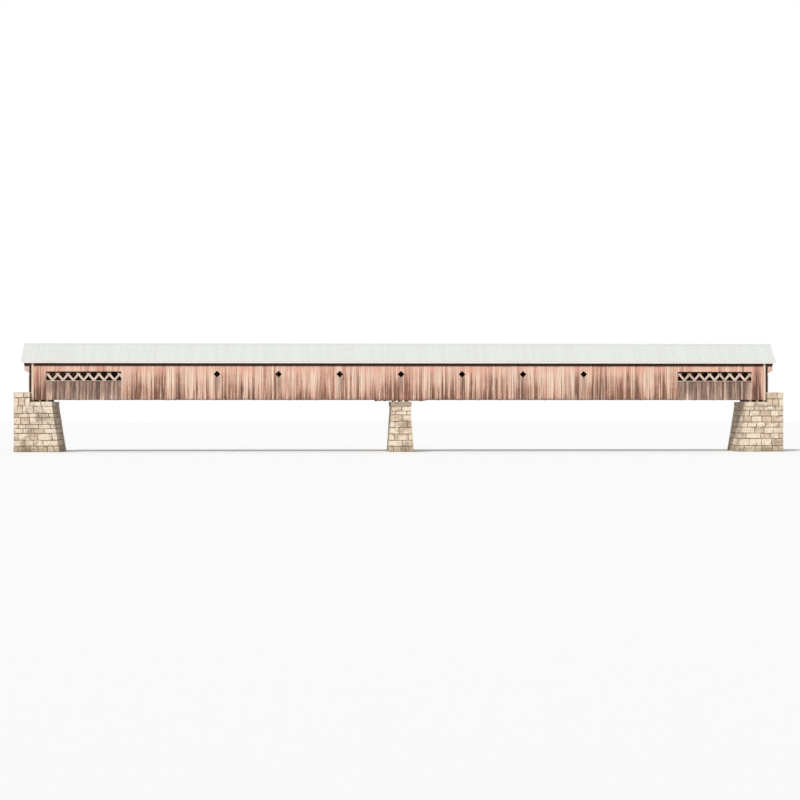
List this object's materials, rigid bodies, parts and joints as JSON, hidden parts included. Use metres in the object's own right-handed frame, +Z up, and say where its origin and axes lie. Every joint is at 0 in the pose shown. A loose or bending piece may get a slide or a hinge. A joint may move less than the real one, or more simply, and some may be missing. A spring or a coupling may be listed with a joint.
{
  "type": "covered bridge, scale model at 1:10",
  "caption": "Scale model of a covered road bridge: boarded plank lattice trusses on a stone pier and abutments, under a long gabled metal roof.",
  "frame": {"origin": "middle of the pier's foot, on the ground level that the abutments share", "axes": "+X along the bridge to the east abutment, -Y towards the downstream side, +Z up"},
  "size_m": [8.896, 0.7634, 1.2615],
  "materials": {
    "stone": "rough coursed stone",
    "framing": "weathered sawn timber",
    "flooring": "worn deck planks",
    "siding": "weathered paint on vertical boards",
    "sill_boards": "bare weathered boards",
    "trim": "pale weathered paint",
    "roof_metal": "dull metal sheets with standing seams",
    "eave_trim": "pale weathered paint on boards"
  },
  "bodies": {
    "root": {"pier_shaft": "stone", "pier_cap": "stone", "west_abutment": "stone", "east_abutment": "stone", "abutment_seats": "stone", "pier_bed_timbers": "framing", "east_bed_timbers": "framing", "west_bed_timbers": "framing", "end_posts": "framing", "floor_beams": "framing", "stringers": "framing", "deck": "flooring", "wheel_guards": "flooring", "tie_beams": "framing", "wall_plates": "framing", "ridge_cap": "roof_metal", "eave_boards": "eave_trim", "corner_boards": "trim", "gable_walls": "siding", "rake_boards": "eave_trim", "portal_ears": "siding", "downstream_lattice_west": "framing", "downstream_lattice_east": "framing", "downstream_lower_chords": "framing", "downstream_upper_chords": "framing", "downstream_knee_braces": "framing", "downstream_rafters": "framing", "downstream_roof": "roof_metal", "downstream_siding_west": "siding", "downstream_siding_middle": "siding", "downstream_siding_east": "siding", "downstream_sill_boards": "sill_boards", "upstream_lattice_west": "framing", "upstream_lattice_east": "framing", "upstream_lower_chords": "framing", "upstream_upper_chords": "framing", "upstream_knee_braces": "framing", "upstream_rafters": "framing", "upstream_roof": "roof_metal", "upstream_siding_west": "siding", "upstream_siding_middle": "siding", "upstream_siding_east": "siding", "upstream_sill_boards": "sill_boards"}
  },
  "joints": []
}
